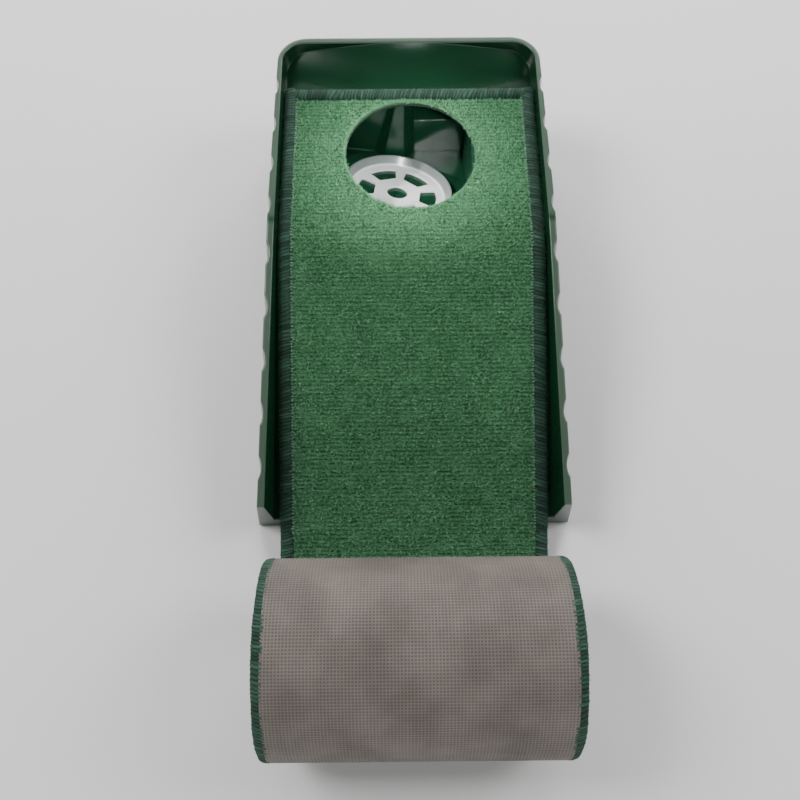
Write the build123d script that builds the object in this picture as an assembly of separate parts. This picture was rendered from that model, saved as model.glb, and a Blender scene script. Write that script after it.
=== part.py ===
"""Practice putting mat: a moulded ramp unit with a golf hole, and a turf mat whose rest is rolled up.

Frame: millimetres, +Z up, +Y from the player towards the backstop, +X to the player's right.
Origin: on the floor, straight below the centre of the hole.
"""

from build123d import *

import math
import os
from types import SimpleNamespace

# Driving dimensions
HOLE_R = 54.0  # a golf hole is 108 mm across
MAT_W = 213.0  # over the whipped edges
DECK_Z = 103.75  # top of the plastic deck that carries the mat round the hole
RIM_Z = 121.0  # top of the side rails and the backstop beside the hole
BACK_Y = 114.0  # outside of the backstop at rim height
FRONT_Y = -287.0  # front edge of the moulding
RIM_HALF_W = 114.0  # outside of the rails at rim height
FLOOR_GAP = 1.5  # the moulding stands this far off the floor, on its pads

# Moulding
WALL = 2.5
DRAFT = math.tan(math.radians(5.5))
RAIL_W = 5.6  # rail width along its top, before the skirt tapers towards the back
TAPER_Y = -45.0  # behind this the skirt narrows
TAPER = math.tan(math.radians(0.65))
CORNER_R = 25.0
RIM_EDGE_R = 1.0  # rounding along the top of the rails
CREST_Y = -80.0  # where the deck and the ramp would meet if the crest were sharp
CREST_R = 70.0
RAMP_ANGLE = math.radians(22.8)
RAIL_DROP_Y = -72.0  # where the rails start to fall
RAIL_DROP_ANGLE = math.radians(17.7)
RAIL_CREST_R = 90.0
FLUTE_PITCH = 40.0
FLUTE_R = 18.0
FLUTE_DEPTH = 2.3
FLUTE_COUNT = 9
FLUTE_FIRST_Y = 62.0
APRON_R = 59.0  # hollow of the curved apron in front of the backstop
APRON_FOOT_Y = 67.0
APRON_SETBACK = 2.0  # the hollow under the apron lies this much further back
APRON_AXIS_Y = 400.0  # the apron's foot is bowed: it is turned about this far-off vertical axis
DECK_HOLE_R = 56.0

# Mat: offsets are measured up from the underside of the whipped edge
WHIP_W = 10.5
WHIP_T = 7.0
BACKING = (0.5, 2.5)
PILE = (2.5, 6.5)
BACKING_INSET = 2.0  # the backing stops this far inside the whipped edge
MAT_LIFT = 0.05
MAT_BACK_Y = 68.0
TAPE = (-0.01, 0.45)
TAPE_W = 24.0
TAPE_HALF_LENGTH = 80.0
TAPE_BESIDE_X = (64.0, 84.0)  # the two strips beside the hole
TAPE_BESIDE_HALF_L = 40.5
TAPE_HOLE_GAP = 4.0  # between the hole and the half-width strip in front of it
TAPE_RAMP_S = (90.0, 180.0)  # the two strips on the ramp start this far past the crest
FOOT_R = 160.0  # bend where the ramp meets the floor
CONTACT_Y = -400.0  # the roll touches the floor here
CONTACT_L = 34.0  # flat patch of mat that travels with the roll
ROLL_R = 72.0
ROLL_SWEEP_R = 72.2  # the roll keeps inside this radius as it turns, and the flat patch outside it
SWEEP_GAP = 0.05
ROLL_PITCH = 7.4
ROLL_CORE_R = 16.0

# Well under the hole, and its screws and posts
WELL_X = (-62.0, 52.0)
WELL_Y = (-60.0, 103.0)
WELL_CORNER_R = 14.0
WELL_TOP_Z = DECK_Z - WALL - 0.2  # just under the deck
WELL_FLAT_Z = 6.0  # level floor at the back of the well
FACE_Y = 83.0  # the well's back face; to the right of the pilaster it steps back above the shelf
SHELF_Z = 50.5
PILASTER_FOOT = [(-35.0, FACE_Y), (-25.0, 70.5), (-4.0, 70.5), (6.0, FACE_Y)]
PILASTER_TOP = [(-11.0, FACE_Y), (-9.0, 73.0), (-4.5, 73.0), (4.0, FACE_Y)]
PILASTER_ROOT = 2.0  # the pilaster reaches this far into the back face
EAR_R = 9.0
EAR_POINTS = [(-74.0, -42.0), (-74.0, 62.0), (64.0, -42.0), (64.0, 62.0)]
EAR_CLEARANCE = 0.3
BOSS_R = 5.0
BOSS_H = 9.0
BOSS_FIT = 0.05
SCREW_R = 1.7
SCREW_L = 9.5
SCREW_HEAD_R = 3.6
SCREW_HEAD_H = 2.2
CROSS_L = 4.7
CROSS_W = 0.9
CROSS_DEPTH = 1.0
POST_R = 11.0
PAD_R = 12.0
POST_POINTS = [(-88.0, 88.0), (88.0, 88.0), (-96.0, -240.0), (96.0, -240.0)]

# Cup: it lies on the well's sloping floor
CUP_AT = (-10.7, 18.5, 29.5)  # centre of its floor's top face
CUP_UP = (0.1485, 0.3276, 0.9333)
CUP_FLOOR_R = 43.5
CUP_RIM_R = 48.0
CUP_H = 7.0
CUP_FLOOR_T = 2.2
CUP_WALL_T = 1.6
CUP_CLEARANCE = 0.3
CUP_HOLE_R = 9.5
WINDOW_R = (22.5, 36.5)
WINDOW_SPAN = 43.5
WINDOW_COUNT = 6
WINDOW_FIRST = 29.0
WINDOW_CORNER_R = 1.2

# Shapes that cut or join others
TALL = 160.0  # taller than anything in the moulding
WIDE = 300.0  # wider than the moulding
PAST = 30.0  # they reach this far past the moulding
OVER = 1.0  # or this far past the face that they meet
ALONG = 0.9  # an edge's direction counts as an axis when its share along it is above this
CLOSE = 1e-3
TINY = 1e-6


# The mat's path, seen from the side: (y, z) along its underside from the backstop to the middle of the roll


def path_segments():
    """Lines and arcs of the mat's underside: (length, function from distance to (y, z, angle)) of each."""
    top_z = DECK_Z + MAT_LIFT
    bend = math.tan(RAMP_ANGLE / 2)
    crest_tangent = CREST_R * bend
    foot_tangent = FOOT_R * bend
    floor_y = CREST_Y - top_z / math.tan(RAMP_ANGLE)
    crest_start = CREST_Y + crest_tangent
    ramp_from = (
        CREST_Y - crest_tangent * math.cos(RAMP_ANGLE),
        top_z - crest_tangent * math.sin(RAMP_ANGLE),
    )
    ramp_to = (floor_y + foot_tangent * math.cos(RAMP_ANGLE), foot_tangent * math.sin(RAMP_ANGLE))
    flat_from = floor_y - foot_tangent

    def line(start, end):
        angle = math.atan2(start[1] - end[1], start[0] - end[0])
        length = math.dist(start, end)
        return length, lambda s: (start[0] - s * math.cos(angle), start[1] - s * math.sin(angle), angle)

    def crest(s):
        a = s / CREST_R
        return crest_start - CREST_R * math.sin(a), top_z - CREST_R * (1 - math.cos(a)), a

    def foot(s):
        a = RAMP_ANGLE - s / FOOT_R
        return flat_from + FOOT_R * math.sin(a), FOOT_R * (1 - math.cos(a)), a

    return [
        line((MAT_BACK_Y, top_z), (crest_start, top_z)),
        (CREST_R * RAMP_ANGLE, crest),
        line(ramp_from, ramp_to),
        (FOOT_R * RAMP_ANGLE, foot),
        line((flat_from, 0.0), (CONTACT_Y, 0.0)),
    ]


SEGMENTS = path_segments()
FLAT_PATH_L = sum(length for length, _ in SEGMENTS)
RAMP_END_S = sum(length for length, _ in SEGMENTS[:3])
ROLL_TURNS = (ROLL_R - ROLL_CORE_R) / ROLL_PITCH
ROLL_STEP = math.pi / 4


def on_path(s, lift):
    """(y, z) at distance s along the mat's underside, lifted square to it."""
    for length, at in SEGMENTS:
        if s <= length + TINY:
            break
        s -= length
    y, z, angle = at(min(s, length))
    return y - lift * math.sin(angle), z + lift * math.cos(angle)


def on_roll(turn, lift):
    """(y, z) on the spiral after an angle turn from the floor, lifted towards its centre."""
    r = ROLL_R - ROLL_PITCH * turn / (2 * math.pi) - lift
    return CONTACT_Y - r * math.sin(turn), ROLL_R - r * math.cos(turn)


def band(point, stations, low, high, x0, x1):
    """Solid strip of mat between two lifts, from x0 to x1; arcs or lines join its stations."""

    def edges(lift, along):
        made = []
        for a, b in zip(along, along[1:]):
            start, middle, end = (point(t, lift) for t in (a, (a + b) / 2, b))
            off_line = abs(
                (middle[0] - start[0]) * (end[1] - start[1]) - (middle[1] - start[1]) * (end[0] - start[0])
            )
            ends = [(x0, *start), (x0, *end)]
            made.append(Line(*ends) if off_line < TINY else ThreePointArc(ends[0], (x0, *middle), ends[1]))
        return made

    first, last = stations[0], stations[-1]
    loop = edges(low, stations)
    loop.append(Line((x0, *point(last, low)), (x0, *point(last, high))))
    loop += edges(high, stations[::-1])
    loop.append(Line((x0, *point(first, high)), (x0, *point(first, low))))
    face = make_face(Wire(loop))
    return extrude(face, amount=x1 - x0, dir=(1, 0, 0))


def flat_stations(start, end):
    """Distances along the path between start and end, with the joins of its lines and arcs."""
    joins = []
    s = 0.0
    for length, _ in SEGMENTS:
        s += length
        joins.append(s)
    return [start] + [j for j in joins if start + TINY < j < end - TINY] + [end]


def mat_stretch(name, point, stations):
    """Pile, backing and both whipped edges of one stretch of mat, as {node name: solid}."""
    half = MAT_W / 2
    inner = half - WHIP_W
    backing = band(point, stations, *BACKING, -half + BACKING_INSET, half - BACKING_INSET)
    pile = band(point, stations, *PILE, -inner, inner)
    left = band(point, stations, 0.0, WHIP_T, -half, -inner) - backing
    right = band(point, stations, 0.0, WHIP_T, inner, half) - backing
    return {
        name + "pile": pile,
        name + "backing": backing,
        name + "whipping_left": left,
        name + "whipping_right": right,
    }


def hole_cutter(radius):
    return Pos(0, 0, DECK_Z) * Cylinder(radius, 2 * PAST)


def mat_on_base():
    """The stretch on the moulding, with its hole and the whipped back edge."""
    half = MAT_W / 2
    nodes = mat_stretch("mat_", on_path, flat_stations(WHIP_W, RAMP_END_S))
    inner = half - BACKING_INSET
    backing = band(on_path, flat_stations(BACKING_INSET, RAMP_END_S), *BACKING, -inner, inner)
    back_edge = band(on_path, [0.0, WHIP_W], 0.0, WHIP_T, -half, half) - backing
    nodes["mat_backing"] = backing - hole_cutter(HOLE_R)
    nodes["mat_pile"] -= hole_cutter(HOLE_R)
    nodes["mat_whipping_back"] = back_edge
    return nodes


def mat_span():
    """The stretch that bends from the ramp to the floor."""
    return mat_stretch("span_", on_path, flat_stations(RAMP_END_S, FLAT_PATH_L - CONTACT_L))


def sweep(radius):
    """The cylinder that the roll sweeps as it turns."""
    return Pos(0, CONTACT_Y, ROLL_R) * Rot(0, 90, 0) * Cylinder(radius, WIDE)


def mat_contact():
    """The flat patch just before the roll; the roll's cylinder is cut out of it."""
    nodes = mat_stretch("contact_", on_path, [FLAT_PATH_L - CONTACT_L, FLAT_PATH_L])
    return {name: shape - sweep(ROLL_SWEEP_R) for name, shape in nodes.items()}


def mat_roll():
    """The rolled rest of the mat, closed by a whipped edge at its middle.

    What the roll's cylinder cuts out of the flat patch is the tapered start of the roll.
    """
    end = ROLL_TURNS * 2 * math.pi
    whip_angle = WHIP_W / (ROLL_CORE_R + WHIP_T)
    steps = math.ceil((end - whip_angle) / ROLL_STEP)
    stations = [(end - whip_angle) * i / steps for i in range(steps + 1)]
    nodes = mat_stretch("roll_", on_roll, stations)
    start = mat_stretch("roll_", on_path, [FLAT_PATH_L - CONTACT_L, FLAT_PATH_L])
    for name, shape in start.items():
        nodes[name] += shape & sweep(ROLL_SWEEP_R - SWEEP_GAP)
    nodes["roll_whipping_end"] = band(on_roll, [end - whip_angle, end], 0.0, WHIP_T, -MAT_W / 2, MAT_W / 2)
    return nodes


def tape_strips():
    """Double-sided tape between deck and mat: beside the hole, before the crest and twice on the ramp."""
    crest_s = MAT_BACK_Y - CREST_Y
    hole_s = MAT_BACK_Y
    half = TAPE_HALF_LENGTH
    near, far = TAPE_BESIDE_X
    reach = TAPE_BESIDE_HALF_L
    places = [
        (hole_s - reach, 2 * reach, -far, -near),
        (hole_s - reach, 2 * reach, near, far),
        (hole_s + HOLE_R + TAPE_HOLE_GAP, TAPE_W / 2, -half, half),
    ]
    places += [(crest_s + s, TAPE_W, -half, half) for s in TAPE_RAMP_S]
    strips = [band(on_path, [start, start + width], *TAPE, x0, x1) for start, width, x0, x1 in places]
    return Compound(children=[strip.solid() for strip in strips])


# Moulding


def outline(z, inset):
    """Plan outline of the fluted skirt at height z, moved inwards by inset."""
    grow = (RIM_Z - z) * DRAFT - inset
    half = RIM_HALF_W + grow
    back = BACK_Y + grow
    front = FRONT_Y + inset
    radius = CORNER_R + grow
    flute_r = FLUTE_R + inset
    flute_centre = half + FLUTE_R - FLUTE_DEPTH + inset
    reach = math.sqrt(flute_r**2 - (flute_centre - half) ** 2)

    def at(sign, y, inwards=0.0):
        return (sign * (half - inwards - max(0.0, y - TAPER_Y) * TAPER), y, z)

    def side(sign):
        """Edges up one side, from the front to the back corner."""
        made = []
        y = front
        for i in reversed(range(FLUTE_COUNT)):
            centre = FLUTE_FIRST_Y - i * FLUTE_PITCH
            made.append(Line(at(sign, y), at(sign, centre - reach)))
            deepest = at(sign, centre, half - flute_centre + flute_r)
            made.append(ThreePointArc(at(sign, centre - reach), deepest, at(sign, centre + reach)))
            y = centre + reach
        made.append(Line(at(sign, y), at(sign, back - radius)))
        return made

    corner_x = at(1, back - radius)[0]
    diagonal = radius * (1 - math.sqrt(0.5))
    edges = side(1) + side(-1)
    for sign in (-1, 1):
        edges.append(
            ThreePointArc(
                (sign * corner_x, back - radius, z),
                (sign * (corner_x - diagonal), back - diagonal, z),
                (sign * (corner_x - radius), back, z),
            )
        )
    edges.append(Line((corner_x - radius, back, z), (radius - corner_x, back, z)))
    edges.append(Line(at(-1, front), at(1, front)))
    return make_face(Wire(edges))


def skirt_body(inset, low):
    return loft([outline(low, inset), outline(RIM_Z + OVER, inset)], ruled=True)


def rail_profile(drop):
    """(y, z) points of everything above the rails' top, which falls past the crest; drop lowers it."""
    slope = math.tan(RAIL_DROP_ANGLE)
    tangent = RAIL_CREST_R * math.tan(RAIL_DROP_ANGLE / 2)
    top = RIM_Z - drop
    start = (RAIL_DROP_Y + tangent, top)
    end = (RAIL_DROP_Y - tangent * math.cos(RAIL_DROP_ANGLE), top - tangent * math.sin(RAIL_DROP_ANGLE))
    middle_angle = RAIL_DROP_ANGLE / 2
    middle = (
        start[0] - RAIL_CREST_R * math.sin(middle_angle),
        top - RAIL_CREST_R * (1 - math.cos(middle_angle)),
    )
    far = (FRONT_Y - PAST, top + (FRONT_Y - PAST - RAIL_DROP_Y) * slope)
    return SimpleNamespace(start=start, middle=middle, end=end, far=far, top=top)


def above_rails(drop):
    p = rail_profile(drop)
    x0 = -WIDE / 2
    back = BACK_Y + PAST
    edges = [
        Line((x0, back, p.top), (x0, *p.start)),
        ThreePointArc((x0, *p.start), (x0, *p.middle), (x0, *p.end)),
        Line((x0, *p.end), (x0, *p.far)),
        Line((x0, *p.far), (x0, p.far[0], TALL)),
        Line((x0, p.far[0], TALL), (x0, back, TALL)),
        Line((x0, back, TALL), (x0, back, p.top)),
    ]
    return extrude(make_face(Wire(edges)), amount=WIDE, dir=(1, 0, 0))


def above_deck(drop):
    """Everything above the deck and the ramp, lowered by drop."""
    lift = -MAT_LIFT - drop
    crest_s = SEGMENTS[0][0]
    ramp_s = crest_s + SEGMENTS[1][0]
    p0 = on_path(crest_s, lift)
    p1 = on_path(ramp_s, lift)
    middle = on_path((crest_s + ramp_s) / 2, lift)
    slope = math.tan(RAMP_ANGLE)
    far = (FRONT_Y - PAST, p1[1] + (FRONT_Y - PAST - p1[0]) * slope)
    x0 = -WIDE / 2
    back = BACK_Y + PAST
    edges = [
        Line((x0, back, DECK_Z - drop), (x0, *p0)),
        ThreePointArc((x0, *p0), (x0, *middle), (x0, *p1)),
        Line((x0, *p1), (x0, *far)),
        Line((x0, *far), (x0, far[0], TALL)),
        Line((x0, far[0], TALL), (x0, back, TALL)),
        Line((x0, back, TALL), (x0, back, DECK_Z - drop)),
    ]
    return extrude(make_face(Wire(edges)), amount=WIDE, dir=(1, 0, 0))


def between_rails(grow):
    """The space between the rails' inner walls, widened by grow; it flares in front of the crest."""

    def section(y, rim_z, low=-PAST, high=TALL):
        half = RIM_HALF_W - RAIL_W + (RIM_Z - rim_z) * DRAFT + grow
        points = [
            (-half - (low - rim_z) * DRAFT, y, low),
            (half + (low - rim_z) * DRAFT, y, low),
            (half + (high - rim_z) * DRAFT, y, high),
            (-half - (high - rim_z) * DRAFT, y, high),
        ]
        return make_face(Polyline(*points, close=True))

    back = BACK_Y - RAIL_W + grow
    level = loft([section(back, RIM_Z), section(RAIL_DROP_Y, RIM_Z)], ruled=True)
    corner = CORNER_R - RAIL_W
    at_back = [e for e in level.edges() if abs(e.center().Y - back) < CLOSE]
    upright = [e for e in at_back if abs(e.tangent_at(0.5).Z) > ALONG]
    level = fillet(upright, corner)
    flare = loft([section(RAIL_DROP_Y, RIM_Z), section(*rail_profile(0).far)], ruled=True)
    return level + flare


def apron_block():
    """What stays of the moulding in front of the backstop: it curves up from the deck, with a bowed foot."""
    foot_r = APRON_AXIS_Y - APRON_FOOT_Y
    rise = RIM_Z - DECK_Z + OVER
    run = math.sqrt(APRON_R**2 - (APRON_R - rise) ** 2)
    middle_a = math.asin(run / APRON_R) / 2
    start = (foot_r, 0, DECK_Z)
    middle = (foot_r - APRON_R * math.sin(middle_a), 0, DECK_Z + APRON_R * (1 - math.cos(middle_a)))
    end = (foot_r - run, 0, DECK_Z + rise)
    inside = foot_r - run - PAST
    low = DECK_Z - WALL
    edges = [
        ThreePointArc(start, middle, end),
        Line(end, (inside, 0, DECK_Z + rise)),
        Line((inside, 0, DECK_Z + rise), (inside, 0, low)),
        Line((inside, 0, low), (foot_r, 0, low)),
        Line((foot_r, 0, low), start),
    ]
    ring = revolve(make_face(Wire(edges)), Axis.Z, 360)
    return Pos(0, APRON_AXIS_Y, 0) * ring


def apron_hollow():
    """The same curve one wall thickness lower, so that the apron is a shell too."""
    return Pos(0, APRON_SETBACK, -WALL) * apron_block()


def rail_top_edges(body):
    """The long edges on both sides of the rails' top."""
    p = rail_profile(0)
    slope = math.tan(RAIL_DROP_ANGLE)
    bend_z = p.top - RAIL_CREST_R

    def above(point):
        if point.Y > p.start[0]:
            return point.Z - p.top
        if point.Y < p.end[0]:
            return point.Z - p.end[1] - (point.Y - p.end[0]) * slope
        return math.hypot(point.Y - p.start[0], point.Z - bend_z) - RAIL_CREST_R

    edges = []
    for edge in body.edges():
        crosses = abs(edge.tangent_at(0.5).X) > ALONG and edge.length < 2 * RAIL_W
        on_top = all(abs(above(edge.position_at(t))) < CLOSE for t in (0.0, 0.5, 1.0))
        if on_top and not crosses:
            edges.append(edge)
    return edges


def base_shell():
    """The green moulding: fluted skirt, rails, backstop, deck with its hole, ramp, bosses and posts."""
    channel = (between_rails(0) & above_deck(0)) - apron_block()
    body = skirt_body(0, FLOOR_GAP) - above_rails(0) - channel
    body = fillet(rail_top_edges(body), RIM_EDGE_R)
    hollow = skirt_body(WALL, FLOOR_GAP - OVER) - above_rails(WALL)
    deck_above = (between_rails(WALL) & above_deck(WALL)) - apron_hollow()
    hollow -= deck_above
    body -= hollow
    body -= hole_cutter(DECK_HOLE_R)
    deck_under = DECK_Z - WALL
    for x, y in EAR_POINTS:
        body += Pos(x, y, deck_under + (OVER - BOSS_H) / 2) * Cylinder(BOSS_R, BOSS_H + OVER)
    for x, y in POST_POINTS:
        post = Pos(x, y, RIM_Z / 2 + FLOOR_GAP) * Cylinder(POST_R, RIM_Z)
        body += post - above_deck(WALL / 2) - above_rails(WALL)
    for x, y in EAR_POINTS:
        body -= Pos(x, y, deck_under - BOSS_H / 2 - OVER) * Cylinder(SCREW_R + BOSS_FIT, BOSS_H)
    return body


# Well


def rounded_box(x_range, y_range, z_range, radius):
    x0, x1 = x_range
    y0, y1 = y_range
    z0, z1 = z_range
    plan = Pos((x0 + x1) / 2, (y0 + y1) / 2, z0) * RectangleRounded(x1 - x0, y1 - y0, radius)
    return extrude(plan, amount=z1 - z0, dir=(0, 0, 1))


def grown(pair, amount):
    return (pair[0] - amount, pair[1] + amount)


def cup_plane(drop):
    """Plane square to the cup's axis, this far below the top of the cup's floor."""
    up = Vector(*CUP_UP).normalized()
    return Plane(origin=Vector(*CUP_AT) - up * drop, x_dir=(1, 0, -CUP_UP[0] / CUP_UP[2]), z_dir=up)


def above_well_floor(drop):
    """The space over the sloping floor and over the level floor behind it, both lowered by drop."""
    above = Pos(0, 0, WIDE / 2) * Box(WIDE, WIDE, WIDE)
    slope = cup_plane(CUP_FLOOR_T + CUP_CLEARANCE + drop) * above
    level = Pos(0, 0, WELL_FLAT_Z - drop) * above
    return slope & level


def well_features(top):
    """The back face with its shelf, and the tapered pilaster in front of it."""
    x0, x1 = grown(WELL_X, OVER)
    y1 = WELL_Y[1] + OVER
    low = -OVER
    step_x = PILASTER_TOP[-1][0]
    depth = y1 - FACE_Y
    left = Pos((x0 + step_x) / 2, FACE_Y + depth / 2, (low + top) / 2) * Box(step_x - x0, depth, top - low)
    shelf = Pos((x0 + x1) / 2, FACE_Y + depth / 2, (low + SHELF_Z) / 2) * Box(x1 - x0, depth, SHELF_Z - low)
    sections = []
    for z, corners in ((0.0, PILASTER_FOOT), (top, PILASTER_TOP)):
        root = FACE_Y + PILASTER_ROOT
        behind = [(corners[-1][0], root), (corners[0][0], root)]
        sections.append(make_face(Polyline(*[(x, y, z) for x, y in corners + behind], close=True)))
    pilaster = loft(sections, ruled=True)
    return left + shelf + pilaster


def ball_well():
    """The pocket under the hole: it hangs from the deck and its sloping floor leads balls to the back."""
    outer_x = grown(WELL_X, WALL)
    outer_y = grown(WELL_Y, WALL)
    outer = rounded_box(outer_x, outer_y, (FLOOR_GAP, WELL_TOP_Z), WELL_CORNER_R + WALL)
    tube = rounded_box(WELL_X, WELL_Y, (-PAST, TALL), WELL_CORNER_R)
    cavity = (tube & above_well_floor(0)) - well_features(WELL_TOP_Z)
    under = tube - above_well_floor(WALL)
    body = outer - cavity - under
    ear_z = DECK_Z - WALL - BOSS_H
    for x, y in EAR_POINTS:
        edge_x = WELL_X[0] - OVER if x < 0 else WELL_X[1] + OVER
        ear = Pos((x + edge_x) / 2, y, ear_z - WALL / 2) * Box(abs(x - edge_x), 2 * EAR_R, WALL)
        ear += Pos(x, y, ear_z - WALL / 2) * Cylinder(EAR_R, WALL)
        body += ear - Pos(x, y, ear_z) * Cylinder(SCREW_R + EAR_CLEARANCE, PAST)
    post = Pos(0, 0, FLOOR_GAP + WELL_TOP_Z / 2) * Cylinder(POST_R, WELL_TOP_Z)
    body += post - above_well_floor(WALL / 2)
    return body


def well_screws():
    """Four self-tapping screws, driven up through the well's ears into the deck's bosses."""
    head_top = DECK_Z - WALL - BOSS_H - WALL
    made = []
    for x, y in EAR_POINTS:
        head = Pos(x, y, head_top - SCREW_HEAD_H / 2) * Cylinder(SCREW_HEAD_R, SCREW_HEAD_H)
        shank = Pos(x, y, head_top + (SCREW_L - OVER) / 2) * Cylinder(SCREW_R, SCREW_L + OVER)
        slot = Pos(x, y, head_top - SCREW_HEAD_H) * Box(CROSS_L, CROSS_W, 2 * CROSS_DEPTH)
        cross = Pos(x, y, head_top - SCREW_HEAD_H) * Box(CROSS_W, CROSS_L, 2 * CROSS_DEPTH)
        made.append((head + shank - slot - cross).solid())
    return Compound(children=made)


def antislip_pads():
    """Rubber pads under the four posts and under the well."""
    pads = [Pos(x, y, FLOOR_GAP / 2) * Cylinder(PAD_R, FLOOR_GAP) for x, y in [(0.0, 0.0)] + POST_POINTS]
    return Compound(children=[p.solid() for p in pads])


# Cup


def cup():
    """White cup: a floor with windows round a flagstick hole, and a shallow wall that opens upwards."""
    low = -CUP_FLOOR_T
    points = [
        (0, low),
        (CUP_FLOOR_R, low),
        (CUP_RIM_R + CUP_WALL_T, CUP_H),
        (CUP_RIM_R, CUP_H),
        (CUP_FLOOR_R, 0),
        (0, 0),
    ]
    body = revolve(make_face(Polyline(*[(r, 0, z) for r, z in points], close=True)), Axis.Z, 360)
    body -= Cylinder(CUP_HOLE_R, PAST)
    inner, outer = WINDOW_R
    for i in range(WINDOW_COUNT):
        middle = math.radians(WINDOW_FIRST + i * 360 / WINDOW_COUNT + WINDOW_SPAN / 2)
        half = math.radians(WINDOW_SPAN / 2)

        def at(r, a):
            return (r * math.cos(middle + a), r * math.sin(middle + a), -CUP_H)

        edges = [
            Line(at(inner, -half), at(outer, -half)),
            ThreePointArc(at(outer, -half), at(outer, 0), at(outer, half)),
            Line(at(outer, half), at(inner, half)),
            Line(at(inner, half), at(inner, -half)),
        ]
        window = extrude(make_face(Wire(edges)), amount=2 * CUP_H, dir=(0, 0, 1))
        upright = [e for e in window.edges() if abs(e.tangent_at(0.5).Z) > ALONG]
        body -= fillet(upright, WINDOW_CORNER_R)
    return cup_plane(0) * body


def main():
    os.makedirs("parts", exist_ok=True)
    nodes = {
        "base_shell": base_shell(),
        "ball_well": ball_well(),
        "well_screws": well_screws(),
        "antislip_pads": antislip_pads(),
        "cup": cup(),
        "tape_strips": tape_strips(),
    }
    nodes.update(mat_on_base())
    nodes.update(mat_span())
    nodes.update(mat_contact())
    nodes.update(mat_roll())
    for name, shape in nodes.items():
        export_step(shape, f"parts/{name}.step")


main()
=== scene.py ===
"""Looks of the practice putting mat: turf fibres, whipped yarn edges, woven backing, glossy mouldings.

Lengths are in metres. s is a distance along the mat's underside from its back edge, and lift is a
height above that underside, square to it.
"""

import math

import bpy
import numpy as np
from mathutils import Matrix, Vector


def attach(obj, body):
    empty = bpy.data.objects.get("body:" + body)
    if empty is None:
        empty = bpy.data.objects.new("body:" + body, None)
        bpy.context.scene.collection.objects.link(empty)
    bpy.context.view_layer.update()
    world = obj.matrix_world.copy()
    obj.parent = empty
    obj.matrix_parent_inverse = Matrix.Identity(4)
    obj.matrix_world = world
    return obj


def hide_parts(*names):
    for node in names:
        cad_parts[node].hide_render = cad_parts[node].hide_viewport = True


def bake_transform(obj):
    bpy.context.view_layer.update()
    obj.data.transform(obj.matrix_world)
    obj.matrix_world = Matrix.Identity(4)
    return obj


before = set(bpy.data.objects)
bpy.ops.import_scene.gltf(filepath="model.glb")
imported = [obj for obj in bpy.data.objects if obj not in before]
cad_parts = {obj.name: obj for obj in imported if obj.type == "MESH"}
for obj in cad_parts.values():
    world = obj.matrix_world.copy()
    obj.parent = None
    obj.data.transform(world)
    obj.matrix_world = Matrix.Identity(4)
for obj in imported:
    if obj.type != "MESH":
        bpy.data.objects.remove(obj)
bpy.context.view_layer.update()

MM = 0.001
SIDES = ((-1, "left"), (1, "right"))

# ---------------------------------------------------------------- sizes, as in the CAD
DECK_Z = 103.75 * MM
MAT_LIFT = 0.05 * MM
MAT_BACK_Y = 68.0 * MM
CREST_Y = -80.0 * MM
CREST_R = 70.0 * MM
RAMP_ANGLE = math.radians(22.8)
FOOT_R = 160.0 * MM
CONTACT_Y = -400.0 * MM
CONTACT_L = 34.0 * MM
ROLL_R = 72.0 * MM
ROLL_PITCH = 7.4 * MM
ROLL_CORE_R = 16.0 * MM
ROLL_SWEEP_R = 72.2 * MM
ROLL_TRAVEL = 0.45
RIM_Z = 121.0 * MM
RAIL_DROP_Y = -72.0 * MM
RAIL_SLOPE = math.tan(math.radians(17.7))
LIP_DEPTH = 1.2 * MM
CUP_AT = Vector((-10.7, 18.5, 29.5)) * MM
CUP_UP = Vector((0.1485, 0.3276, 0.9333)).normalized()

MAT_HALF_W = 106.5 * MM
WHIP_W = 10.5 * MM
WHIP_T = 7.0 * MM
PILE_HALF_W = MAT_HALF_W - WHIP_W
HOLE_R = 54.0 * MM
BACKING_LIFTS = (0.5 * MM, 2.5 * MM)
ROOT_LIFTS = (2.5 * MM, 3.4 * MM)

# ---------------------------------------------------------------- sizes that only the looks have
ROW_PITCH = 3.3 * MM  # of the turf's stitch rows
ROW_LIE = 0.78  # on the ramp, fibres lean along their row more than across it
TUFT_GAUGE = 1.8 * MM  # between tufts in a row
FIBRE_BASE = 2.7 * MM  # lift of the fibres' roots
STRETCH_Y = (-0.3636, -0.3652)  # the mat that the roll lays down lies between these at rest
WEAVE_PITCH = 2.2 * MM
BANDS_PERIOD = 2 * math.pi / 20  # of Blender's wave texture, at scale 1
WRAP_PITCH = 2.8 * MM
WRAP_GIRTH = 26 * MM  # length of yarn in one wrap
WRAP_RELIEF = (0.85 * MM, 0.80 * MM)  # how far a wrap stands off the core, sideways and up
YARN_SCATTER = 0.05 * MM
CORE_POWER = 0.82  # below 1 the whipping's core is squarer than an ellipse
STEP = 0.29 * MM  # between the stations of a whipping
AROUND = 22
PHI = np.linspace(0, 2 * math.pi, AROUND, endpoint=False)

# ---------------------------------------------------------------- the mat's path

TOP_Z = DECK_Z + MAT_LIFT
BEND = math.tan(RAMP_ANGLE / 2)
FLOOR_Y = CREST_Y - TOP_Z / math.tan(RAMP_ANGLE)
CREST_START_Y = CREST_Y + CREST_R * BEND
RAMP_FROM = (CREST_Y - CREST_R * BEND * math.cos(RAMP_ANGLE), TOP_Z - CREST_R * BEND * math.sin(RAMP_ANGLE))
RAMP_TO = (FLOOR_Y + FOOT_R * BEND * math.cos(RAMP_ANGLE), FOOT_R * BEND * math.sin(RAMP_ANGLE))
FLAT_FROM_Y = FLOOR_Y - FOOT_R * BEND

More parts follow.
